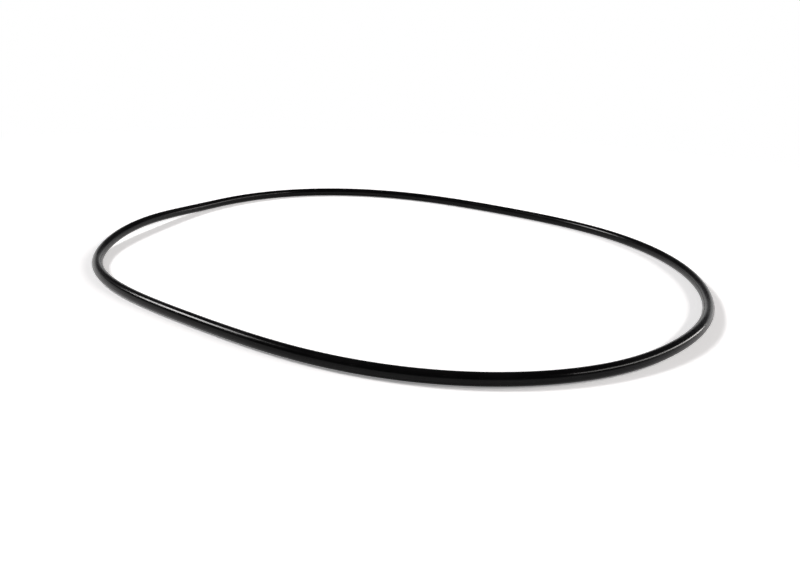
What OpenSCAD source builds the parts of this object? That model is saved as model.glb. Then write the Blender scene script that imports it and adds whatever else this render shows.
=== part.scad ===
// Rubber o-ring lying relaxed on a flat surface.
// The ring keeps its moulded length all round. It lies out of round, and two
// stretches of it stand a little clear of the surface, as slack rubber does.
// X runs to the right, Y to the back and Z up. The origin is under the middle
// of the ring, on the surface that it lies on.

/* [Ring] */
// Diameter of the round rubber section
section_d = 3.53; // [1.78:0.01:5.33]
// Inside diameter of the ring as it was moulded, round and flat
inside_d = 209.14; // [150:0.01:260]

/* [Outline] */
// Oval: how far the long way stands out from the mean radius, as a share of it
oval = 0.09; // [0:0.001:0.15]
// Direction of the long way, in degrees from the right
oval_angle = -54.5; // [-90:0.5:90]
// Egg shape: how far the blunt end stands out, as a share of the mean radius
egg = 0.0127; // [0:0.0001:0.03]
// Direction of the egg shape's first corner, in degrees from the right
egg_angle = -30.6; // [-60:0.1:60]
// Four soft corners: how far they stand out, as a share of the mean radius
corners = 0.03; // [0:0.0005:0.04]
// Direction of the first of the four corners, in degrees from the right
corners_angle = 17.6; // [-45:0.1:45]
// Ripple of five waves: how far they stand out, as a share of the mean radius
ripple = 0.0064; // [0:0.0001:0.015]
// Direction of the first of the five waves, in degrees from the right
ripple_angle = -27.2; // [-36:0.1:36]

/* [Lift at the left] */
// Height that the ring stands clear of the surface at its left
left_lift = 1.65; // [0:0.05:5]
// Direction of the highest place, in degrees from the right
left_lift_angle = 166; // [150:1:200]
// Angle from the highest place to where the ring lies on the surface again
left_lift_reach = 28; // [20:1:60]

/* [Lift at the right] */
// Height that the ring stands clear of the surface at its right
right_lift = 0.5; // [0:0.05:5]
// Direction of the highest place, in degrees from the right
right_lift_angle = -43; // [-70:1:0]
// Angle from the highest place to where the ring lies on the surface again
right_lift_reach = 20; // [15:1:70]

/* [Hidden] */

rubber_black = [0.035, 0.034, 0.036];
section_sides = 24;
ring_steps = 240;
turn = 360;
step_angle = turn / ring_steps;
side_angle = turn / section_sides;
section_r = section_d / 2;

// Middle of the section as moulded, and the length round it, which bending keeps
moulded_r = (inside_d + section_d) / 2;
moulded_length = 2 * PI * moulded_r;

// One wave of the outline, which repeats `count` times in a turn
function wave(a, count, height, first) = height * cos(count * (a - first));

// Outline of the middle of the section, as a share of the mean radius
function outline(a) =
    1
    + wave(a, 2, oval, oval_angle)
    + wave(a, 3, egg, egg_angle)
    + wave(a, 4, corners, corners_angle)
    + wave(a, 5, ripple, ripple_angle);

// Smallest angle between two directions
function apart(a, b) = abs((a - b + 1.5 * turn) % turn - turn / 2);

// Smooth rise from the surface to `height` and down again
function lift(a, height, peak, reach) =
    let (away = apart(a, peak))
    away < reach ? height * (1 + cos(away / reach * turn / 2)) / 2 : 0;

// Height of the middle of the section over the surface
function middle_height(a) =
    section_r
    + lift(a, left_lift, left_lift_angle, left_lift_reach)
    + lift(a, right_lift, right_lift_angle, right_lift_reach);

// Middle of the section at a direction, with the mean radius `r`
function middle(a, r) = [r * outline(a) * cos(a), r * outline(a) * sin(a), middle_height(a)];

function total(list) = list * [for (item = list) 1];

// Length all round the outline when its mean radius is `r`
function outline_length(r) =
    total([for (i = [0:ring_steps - 1])
        norm(middle((i + 1) * step_angle, r) - middle(i * step_angle, r))]);

// Mean radius at which the outline is as long as the moulded ring
mean_r = moulded_r * moulded_length / outline_length(moulded_r);

function unit(v) = v / norm(v);

// Direction in which the rubber runs
function along(a) = unit(middle(a + step_angle, mean_r) - middle(a - step_angle, mean_r));

// Corners of the section at a direction, square to the way the rubber runs
function section(a) =
    let (
        run = along(a),
        side = unit(cross(run, [0, 0, 1])),
        up = cross(side, run)
    )
    [for (j = [0:section_sides - 1])
        middle(a, mean_r) + section_r * (cos(j * side_angle) * side + sin(j * side_angle) * up)];

skin_points = [for (i = [0:ring_steps - 1]) each section(i * step_angle)];

// Place of corner `j` of section `i` in the list of points, both counted round
function corner(i, j) = (i % ring_steps) * section_sides + j % section_sides;

skin_faces = [
    for (i = [0:ring_steps - 1], j = [0:section_sides - 1])
        [corner(i, j), corner(i, j + 1), corner(i + 1, j + 1), corner(i + 1, j)]
];

// Middle of the space that the ring takes up, which goes over the origin
function middle_of(values) = (min(values) + max(values)) / 2;
centre_x = middle_of([for (p = skin_points) p.x]);
centre_y = middle_of([for (p = skin_points) p.y]);

module o_ring() {
    color(rubber_black)
        translate([-centre_x, -centre_y, 0])
            polyhedron(points = skin_points, faces = skin_faces, convexity = 6);
}

o_ring();
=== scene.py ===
"""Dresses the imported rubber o-ring for the photograph's view.

The ring lies relaxed on a sheet of white paper, under a small bright lamp at the left back and
a long, dimmer one at the right. Lengths are in metres, and angles are in degrees where nothing
else is said. X runs to the right, Y to the back and Z up, with the origin on the paper under
the middle of the ring.
"""

import logging
import math
from dataclasses import dataclass, field
from enum import Enum

import bpy
from mathutils import Matrix, Vector


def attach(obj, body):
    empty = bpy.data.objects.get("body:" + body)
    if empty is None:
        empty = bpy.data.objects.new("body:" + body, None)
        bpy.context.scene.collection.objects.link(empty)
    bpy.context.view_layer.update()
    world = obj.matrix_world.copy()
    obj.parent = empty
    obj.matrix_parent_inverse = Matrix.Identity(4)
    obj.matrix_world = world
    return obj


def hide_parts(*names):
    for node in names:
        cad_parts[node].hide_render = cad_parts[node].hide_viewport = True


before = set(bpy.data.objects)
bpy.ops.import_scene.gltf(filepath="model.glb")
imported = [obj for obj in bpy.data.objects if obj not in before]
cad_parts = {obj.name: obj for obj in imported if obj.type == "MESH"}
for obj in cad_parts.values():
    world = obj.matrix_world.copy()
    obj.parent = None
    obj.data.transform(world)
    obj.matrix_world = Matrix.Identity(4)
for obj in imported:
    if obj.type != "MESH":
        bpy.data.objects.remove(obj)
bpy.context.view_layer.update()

TURN = 2 * math.pi
FULL_CIRCLE = 360

Colour = tuple[float, float, float, float]

log = logging.getLogger("o_ring")


class Rays(Enum):
    """Kinds of ray that the paper shows its plain white to."""

    CAMERA = "Is Camera Ray"
    GLOSSY = "Is Glossy Ray"
    TRANSMISSION = "Is Transmission Ray"


class Grain(Enum):
    """Grains that a finish is mixed from, each with its number of octaves."""

    CLOUDY = 3.0
    FINE = 5.0


class NodeBoard:
    """A small helper that adds and joins shader nodes on one node tree."""

    noise_roughness: float = 0.55

    def __init__(self, tree: bpy.types.NodeTree) -> None:
        """Start from an empty tree.

        Args:
            tree: The node tree of a material or a world.
        """
        self.tree = tree
        self.tree.nodes.clear()

    def add(self, kind: str, **values: object) -> bpy.types.Node:
        """Add a node and set its input sockets.

        Args:
            kind: Blender's name for the kind of node.
            values: Socket names, with underscores for spaces, and what each is set to. A
                socket as a value is joined instead.

        Returns:
            The new node.
        """
        node = self.tree.nodes.new(kind)
        for name, value in values.items():
            self.feed(node.inputs[name.replace("_", " ")], value)
        return node

    def feed(self, socket: bpy.types.NodeSocket, value: object) -> None:
        """Join a socket to another one, or set it.

        Args:
            socket: The input socket.
            value: The output socket to join to it, or the value to set.
        """
        if isinstance(value, bpy.types.NodeSocket):
            self.tree.links.new(value, socket)
        else:
            socket.default_value = value

    def math(self, operation: str, first: object, second: object) -> bpy.types.NodeSocket:
        """Add a Math node.

        Args:
            operation: Blender's name for the sum.
            first: First number or socket.
            second: Second number or socket.

        Returns:
            The node's output.
        """
        node = self.tree.nodes.new("ShaderNodeMath")
        node.operation = operation
        for socket, value in zip(node.inputs, (first, second)):
            self.feed(socket, value)
        return node.outputs[0]

    def mix(self, share: bpy.types.NodeSocket, first: Colour, second: Colour) -> bpy.types.NodeSocket:
        """Mix two colours.

        Args:
            share: Share of the second colour, from 0 to 1.
            first: First colour.
            second: Second colour.

        Returns:
            The mixed colour.
        """
        node = self.tree.nodes.new("ShaderNodeMix")
        node.data_type = "RGBA"
        for socket, value in zip((s for s in node.inputs if s.enabled), (share, first, second)):
            self.feed(socket, value)
        return next(s for s in node.outputs if s.enabled)

    def join(self, kind: str, shaders: tuple[bpy.types.NodeSocket, bpy.types.NodeSocket],
             **values: object) -> bpy.types.NodeSocket:
        """Add or mix two shaders.

        Args:
            kind: Blender's name for the kind of node.
            shaders: The two shaders.
            values: The node's other sockets, as for ``add``.

        Returns:
            The joined shader.
        """
        node = self.add(kind, **values)
        for socket, shader in zip((s for s in node.inputs if s.type == "SHADER"), shaders):
            self.feed(socket, shader)
        return node.outputs["Shader"]

    def ramp(self, value: bpy.types.NodeSocket, low: float, high: float,
             to_low: float, to_high: float) -> bpy.types.NodeSocket:
        """Map a number from one range to another, smoothly and clamped.

        Args:
            value: Number to map.
            low: Value that gives ``to_low``.
            high: Value that gives ``to_high``.
            to_low: Lower result.
            to_high: Upper result.

        Returns:
            The mapped number.
        """
        node = self.tree.nodes.new("ShaderNodeMapRange")
        node.interpolation_type = "SMOOTHSTEP"
        self.tree.links.new(value, node.inputs["Value"])
        for name, number in (("From Min", low), ("From Max", high),
                             ("To Min", to_low), ("To Max", to_high)):
            node.inputs[name].default_value = number
        return node.outputs["Result"]

    def noise(self, size: float, grain: Grain) -> bpy.types.NodeSocket:
        """Add solid noise in the object's own coordinates.

        Args:
            size: Size of one grain, in metres.
            grain: How rough the noise is.

        Returns:
            The noise, from 0 to 1.
        """
        place = self.add("ShaderNodeTexCoord").outputs["Object"]
        node = self.add("ShaderNodeTexNoise", Vector=place, Scale=1 / size,
                        Detail=grain.value, Roughness=self.noise_roughness)
        return node.outputs["Fac"]

    def any_ray(self) -> bpy.types.NodeSocket:
        """Return 1 for the kinds of ray in ``Rays`` and 0 for all others."""
        path = self.add("ShaderNodeLightPath")
        camera, glossy, transmission = (path.outputs[ray.value] for ray in Rays)
        return self.math("MAXIMUM", self.math("MAXIMUM", camera, glossy), transmission)


@dataclass(frozen=True)
class Wave:
    """One wave of the outline, as a share of the mean radius."""

    count: int
    height: float
    first: float

    def at(self, angle: float) -> float:
        """Return how far the wave stands out at an angle in radians."""
        return self.height * math.cos(self.count * (angle - math.radians(self.first)))


@dataclass(frozen=True)
class Lift:
    """A stretch of the ring that stands clear of the paper."""

    height: float
    peak: float
    reach: float

    def at(self, angle: float) -> float:
        """Return the height above the paper at an angle in radians."""
        away = abs(math.remainder(math.degrees(angle) - self.peak, FULL_CIRCLE))
        if away >= self.reach:
            return 0.0
        return self.height * (1 + math.cos(math.pi * away / self.reach)) / 2


@dataclass(frozen=True)
class BlackRubber:
    """Satin black moulded rubber: a cloudy, finely grained skin with a soft shine.

    The clouds carry a slightly paler bloom, and with the grain they vary the roughness
    between satin and dull. The pairs are the noise values where a change starts and ends.
    """

    colour: Colour = (0.0022, 0.0021, 0.0023, 1.0)
    bloom_colour: Colour = (0.0050, 0.0048, 0.0050, 1.0)
    bloom_range: tuple[float, float] = (0.35, 0.7)
    satin: float = 0.16
    dull: float = 0.23
    dull_range: tuple[float, float] = (0.3, 0.7)
    shine: float = 0.115
    cloud_size: float = 0.011
    cloud_share: float = 0.7
    grain_size: float = 0.00022
    grain_share: float = 0.3
    grain_depth: float = 0.0000035

    def material(self) -> bpy.types.Material:
        """Make the rubber's material.

        Returns:
            The material, with its colour, roughness and bump from nodes.
        """
        material = bpy.data.materials.new("black_rubber")
        material.use_nodes = True
        board = NodeBoard(material.node_tree)
        clouds = board.noise(self.cloud_size, Grain.CLOUDY)
        grain = board.noise(self.grain_size, Grain.FINE)
        bloom = board.ramp(clouds, *self.bloom_range, 0.0, 1.0)
        mixed = board.math("ADD", board.math("MULTIPLY", clouds, self.cloud_share),
                           board.math("MULTIPLY", grain, self.grain_share))
        bump = board.add("ShaderNodeBump", Height=grain, Strength=1.0, Distance=self.grain_depth)
        shader = board.add(
            "ShaderNodeBsdfPrincipled",
            Base_Color=board.mix(bloom, self.colour, self.bloom_colour),
            Roughness=board.ramp(mixed, *self.dull_range, self.satin, self.dull),
            Specular_IOR_Level=self.shine,
            Normal=bump.outputs["Normal"],
        )
        board.add("ShaderNodeOutputMaterial", Surface=shader.outputs["BSDF"])
        return material


@dataclass
class RubberRing:
    """The o-ring: one round rubber section swept along a closed line that is out of round.

    The line keeps the moulded ring's length. A fine parting ridge from the mould runs round
    the outside and the inside of the section. Its width is the one to either side of its
    crest, and the parting places are where its corners lie, as shares of that width.
    """

    section_d: float = 0.00353
    inside_d: float = 0.20914
    waves: tuple[Wave, ...] = (
        Wave(2, 0.09, -54.5),
        Wave(3, 0.0127, -30.6),
        Wave(4, 0.03, 17.6),
        Wave(5, 0.0064, -27.2),
    )
    lifts: tuple[Lift, ...] = (Lift(0.00165, 166, 28), Lift(0.0005, -43, 20))
    ring_steps: int = 960
    section_sides: int = 48
    parting_height: float = 0.00003
    parting_width: float = 0.00012
    parting_places: tuple[float, ...] = (-1, -0.5, 0, 0.5, 1)
    least_gap: float = 1 / 3
    finish: BlackRubber = field(default_factory=BlackRubber)

    def outline(self, angle: float) -> float:
        """Return the outline at an angle in radians, as a share of the mean radius."""
        return 1 + sum(wave.at(angle) for wave in self.waves)

    def middle(self, angle: float, mean_radius: float) -> Vector:
        """Return the middle of the section.

        Args:
            angle: Direction from the middle of the ring, in radians.
            mean_radius: Mean radius of the line.

        Returns:
            The point, over the paper by half the section and any lift.
        """
        radius = mean_radius * self.outline(angle)
        height = self.section_d / 2 + sum(lift.at(angle) for lift in self.lifts)
        return Vector((radius * math.cos(angle), radius * math.sin(angle), height))

    def line(self) -> list[Vector]:
        """Return the closed line through the middle of the section, at its moulded length."""
        moulded_radius = (self.inside_d + self.section_d) / 2
        angles = [TURN * i / self.ring_steps for i in range(self.ring_steps)]
        points = [self.middle(a, moulded_radius) for a in angles]
        length = sum((points[i] - points[i - 1]).length for i in range(self.ring_steps))
        return [self.middle(a, moulded_radius * TURN * moulded_radius / length) for a in angles]

    def section_angles(self) -> list[float]:
        """Place the section's corners, closer together on the parting lines.

        Returns:
            The corners' angles round the section, in radians. An evenly spaced corner is
            left out where it would lie within the least gap of one on a parting line.
        """
        width = self.parting_width / (self.section_d / 2)
        gap = width * self.least_gap
        parting = [side + place * width for side in (0, math.pi) for place in self.parting_places]
        even = [TURN * j / self.section_sides for j in range(self.section_sides)]
        clear = [a for a in even if all(abs(math.remainder(a - p, TURN)) > gap for p in parting)]
        return sorted(a % TURN for a in clear + parting)

    def section_radius(self, angle: float) -> float:
        """Return the section's radius at an angle in radians, with the parting line's ridge."""
        away = abs(math.remainder(angle, math.pi)) * self.section_d / 2
        return self.section_d / 2 + self.parting_height * max(0.0, 1 - away / self.parting_width) ** 2

    def build(self) -> bpy.types.Object:
        """Build the ring's skin and dress it.

        Returns:
            The ring, which stands for the CAD node of the same part.
        """
        line = self.line()
        around = self.section_angles()
        spokes = [(math.cos(a) * self.section_radius(a), math.sin(a) * self.section_radius(a))
                  for a in around]
        points = []
        for i, middle in enumerate(line):
            run = (line[(i + 1) % len(line)] - line[i - 1]).normalized()
            side = run.cross(Vector((0, 0, 1))).normalized()
            up = side.cross(run)
            points += [middle + side * out + up * rise for out, rise in spokes]
        low = Vector(min(p[k] for p in points) for k in range(3))
        high = Vector(max(p[k] for p in points) for k in range(3))
        shift = Vector(((low.x + high.x) / 2, (low.y + high.y) / 2, 0))
        skin = self.skin([p - shift for p in points], len(line), len(around))
        ring = bpy.data.objects.new("o_ring_rubber", skin)
        bpy.context.scene.collection.objects.link(ring)
        self.dress(ring)
        return ring

    def skin(self, points: list[Vector], steps: int, sides: int) -> bpy.types.Mesh:
        """Make the closed mesh.

        Args:
            points: Corners of every section, one section after the other.
            steps: Number of sections round the ring.
            sides: Number of corners in a section.

        Returns:
            The mesh, smooth shaded, with a map whose U runs along the rubber and V round it.
        """
        cells = [(i, j) for i in range(steps) for j in range(sides)]
        corners = [((i, j), (i, j + 1), (i + 1, j + 1), (i + 1, j)) for i, j in cells]
        mesh = bpy.data.meshes.new("o_ring_rubber")
        mesh.from_pydata(
            points, [],
            [[i % steps * sides + j % sides for i, j in cell] for cell in corners],
        )
        layer = mesh.uv_layers.new(name="along_and_round")
        places = [number for cell in corners for i, j in cell for number in (i / steps, j / sides)]
        layer.data.foreach_set("uv", places)
        mesh.shade_smooth()
        return mesh

    def dress(self, ring: bpy.types.Object) -> None:
        """Give the ring its finish and its place in the frame.

        Args:
            ring: The ring's object.
        """
        ring.data.materials.append(self.finish.material())
        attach(ring, "root")
        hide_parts("o_ring")


@dataclass(frozen=True)
class WhitePaper:
    """Matt white paper that keeps the ring's shadow, and shows plain white further off.

    Light bounces off the paper by its colour. The rays in ``Rays`` see it by its shown
    colour, with a small even glow added, so that the lit paper comes out white and its
    shadows pale. Between the near and the far distance from the middle it turns plain
    white for those rays.
    """

    colour: Colour = (0.90, 0.90, 0.90, 1.0)
    shown: Colour = (1.20, 1.20, 1.20, 1.0)
    glow: float = 0.25
    near: float = 0.16
    far: float = 0.4

    def material(self) -> bpy.types.Material:
        """Make the paper's material.

        Returns:
            The material. Matt surfaces get only the light that its colour reflects.
        """
        material = bpy.data.materials.new("white_paper")
        material.use_nodes = True
        board = NodeBoard(material.node_tree)
        seen = board.any_ray()
        matt = board.add("ShaderNodeBsdfDiffuse", Color=board.mix(seen, self.colour, self.shown))
        glow = board.add("ShaderNodeEmission", Strength=board.math("MULTIPLY", seen, self.glow))
        lit = board.join("ShaderNodeAddShader", (matt.outputs["BSDF"], glow.outputs["Emission"]))
        white = board.add("ShaderNodeEmission", Strength=1.0)
        distance = board.add("ShaderNodeVectorMath")
        distance.operation = "LENGTH"
        board.feed(distance.inputs[0], board.add("ShaderNodeTexCoord").outputs["Object"])
        far_off = board.ramp(distance.outputs["Value"], self.near, self.far, 0.0, 1.0)
        surface = board.join("ShaderNodeMixShader", (lit, white.outputs["Emission"]),
                             Fac=board.math("MULTIPLY", far_off, seen))
        board.add("ShaderNodeOutputMaterial", Surface=surface)
        return material


@dataclass
class PaperSweep:
    """The white paper under the ring, which curves up to a low wall beyond the lamps."""

    flat_radius: float = 4.2
    sweep_radius: float = 0.45
    wall_height: float = 1.02
    sweep_steps: int = 12
    sides: int = 96
    finish: WhitePaper = field(default_factory=WhitePaper)

    def profile(self) -> list[tuple[float, float]]:
        """Return the paper's profile from the middle outwards, as radius and height."""
        curve = [math.radians(90 * k / self.sweep_steps) for k in range(self.sweep_steps + 1)]
        sweep = [(self.flat_radius + self.sweep_radius * math.sin(a),
                  self.sweep_radius * (1 - math.cos(a))) for a in curve]
        return [*sweep, (self.flat_radius + self.sweep_radius, self.wall_height)]

    def build(self) -> bpy.types.Object:
        """Build the paper.

        Returns:
            The paper.
        """
        profile = self.profile()
        points = [Vector((0, 0, 0))]
        faces = []
        for k in range(self.sides):
            angle = TURN * k / self.sides
            points += [Vector((r * math.cos(angle), r * math.sin(angle), z)) for r, z in profile]
            here, there = 1 + k * len(profile), 1 + (k + 1) % self.sides * len(profile)
            faces.append((0, here, there))
            faces += [(here + n, here + n + 1, there + n + 1, there + n) for n in range(len(profile) - 1)]
        mesh = bpy.data.meshes.new("paper_sweep")
        mesh.from_pydata(points, [], faces)
        mesh.shade_smooth()
        paper = bpy.data.objects.new("paper_sweep", mesh)
        bpy.context.scene.collection.objects.link(paper)
        paper.data.materials.append(self.finish.material())
        return paper


@dataclass
class SoftLamp:
    """A flat rectangular lamp that faces the middle of the ring.

    Azimuth counts from the back to the right, and elevation from the paper upwards. The tilt
    turns the lamp in its own plane. Width and height are angles, as seen from the ring.
    """

    name: str
    azimuth: float
    elevation: float
    tilt: float
    width: float
    height: float
    radiance: float
    colour: tuple[float, float, float] = (1.0, 1.0, 1.0)
    distance: float = 3.6

    def place(self) -> Vector:
        """Return the middle of the lamp."""
        turn, rise = math.radians(self.azimuth), math.radians(self.elevation)
        level = self.distance * math.cos(rise)
        return Vector((level * math.sin(turn), level * math.cos(turn), self.distance * math.sin(rise)))

    def build(self) -> bpy.types.Object:
        """Build the lamp.

        Returns:
            The lamp, which the camera itself doesn't see.
        """
        light = bpy.data.lights.new(self.name, "AREA")
        light.shape = "RECTANGLE"
        light.size = 2 * self.distance * math.tan(math.radians(self.width / 2))
        light.size_y = 2 * self.distance * math.tan(math.radians(self.height / 2))
        # An area lamp's power is pi times its radiance and its area.
        light.energy = math.pi * self.radiance * light.size * light.size_y
        light.color = self.colour
        lamp = bpy.data.objects.new(self.name, light)
        facing = (-self.place()).to_track_quat("-Z", "Y").to_matrix().to_4x4()
        roll = Matrix.Rotation(math.radians(-self.tilt), 4, "Z")
        lamp.matrix_world = Matrix.Translation(self.place()) @ facing @ roll
        lamp.visible_camera = False
        bpy.context.scene.collection.objects.link(lamp)
        return lamp


@dataclass
class Room:
    """The dim, even light all round the paper, and the two lamps."""

    dome: Colour = (0.062, 0.060, 0.066, 1.0)
    lamps: tuple[SoftLamp, ...] = (
        SoftLamp("lamp_left_back", -69, 38, -34, 15, 13, 36.0, (0.99, 0.975, 0.97)),
        SoftLamp("lamp_right", 84, 28, 28, 66, 7, 16.0, (1.0, 0.965, 0.94)),
    )

    def build(self) -> None:
        """Build the lamps and the dim light that comes from everywhere else."""
        world = bpy.data.worlds.new("soft_room")
        bpy.context.scene.world = world
        world.use_nodes = True
        board = NodeBoard(world.node_tree)
        shade = board.add("ShaderNodeBackground", Color=self.dome, Strength=1.0)
        board.add("ShaderNodeOutputWorld", Surface=shade.outputs["Background"])
        for lamp in self.lamps:
            lamp.build()


@dataclass
class PhotoCamera:
    """The camera at the photograph's place, looking down over the ring from the front."""

    place: tuple[float, float, float] = (0.00258, -0.28445, 0.07816)
    pitch: float = 17.395
    roll: float = 2.143
    lens: float = 36.0
    sensor: float = 36.0
    clip_start: float = 0.01
    clip_end: float = 20.0

    def build(self) -> bpy.types.Object:
        """Build the camera and make it the scene's.

        Returns:
            The camera.
        """
        data = bpy.data.cameras.new("photo_camera")
        data.lens, data.sensor_width = self.lens, self.sensor
        data.clip_start, data.clip_end = self.clip_start, self.clip_end
        camera = bpy.data.objects.new("photo_camera", data)
        tilt = Matrix.Rotation(math.radians(90 - self.pitch), 4, "X")
        roll = Matrix.Rotation(math.radians(self.roll), 4, "Z")
        camera.matrix_world = Matrix.Translation(self.place) @ tilt @ roll
        bpy.context.scene.collection.objects.link(camera)
        bpy.context.scene.camera = camera
        return camera


def main() -> None:
    """Build the camera, the ring, the paper and the lamps, in that order."""
    logging.basicConfig(level=logging.INFO, format="%(name)s: %(message)s")
    bpy.context.scene.view_settings.view_transform = "Standard"
    log.info("camera: %s", PhotoCamera().build().name)
    ring = RubberRing().build()
    log.info("piece: %s, %d faces", ring.name, len(ring.data.polygons))
    log.info("paper: %s", PaperSweep().build().name)
    Room().build()


if __name__ == "__main__":
    main()
